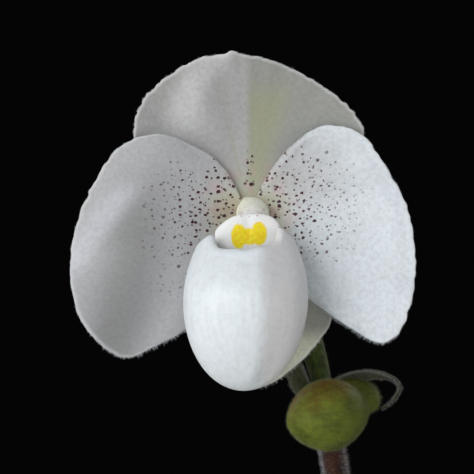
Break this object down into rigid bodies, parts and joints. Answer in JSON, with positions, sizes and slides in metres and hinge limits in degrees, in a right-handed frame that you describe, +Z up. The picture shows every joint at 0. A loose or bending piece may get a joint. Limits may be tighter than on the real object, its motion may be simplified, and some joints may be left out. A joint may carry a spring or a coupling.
{
  "type": "potted slipper orchid",
  "caption": "Slipper orchid in a clay pot of bark: strap leaves, a hairy leaning scape, a round white spotted bloom with a hollow pouch, and a green bud.",
  "frame": {"origin": "centre of the underside of the pot's foot", "axes": "+Z up along the pot's axis, -Y the way the open bloom faces, +X to the bloom's left as it faces the viewer (the viewer's right)"},
  "size_m": [0.2089, 0.1139, 0.3049],
  "materials": {
    "terracotta": "matt fired clay",
    "bark": "rough conifer bark chips",
    "rootstock": "dull, fibrous",
    "leaf": "satin, mottled dark and pale green above, purple-flushed beneath",
    "scape": "brown-purple under white hairs",
    "green_tissue": "green with white hairs",
    "bud": "yellow-green with a reddish brown flush and fine hairs",
    "tepal": "soft white, veined, with fine maroon dots",
    "lip": "smooth white, slightly waxy",
    "staminode": "white with a yellow centre, slightly glossy"
  },
  "bodies": {
    "root": {"pot": "terracotta", "bark_mix": "bark", "rhizome": "rootstock", "main_leaf_1": "leaf", "main_leaf_2": "leaf", "main_leaf_3": "leaf", "main_leaf_4": "leaf", "main_leaf_5": "leaf", "main_leaf_6": "leaf", "side_leaf_1": "leaf", "side_leaf_2": "leaf", "side_leaf_3": "leaf", "scape": "scape", "ovary": "green_tissue", "bloom_bract": "green_tissue", "bud_bract": "green_tissue", "bud": "bud", "dorsal_sepal": "tepal", "synsepal": "tepal", "petal_left": "tepal", "petal_right": "tepal", "pouch": "lip", "staminode": "staminode"}
  },
  "joints": []
}
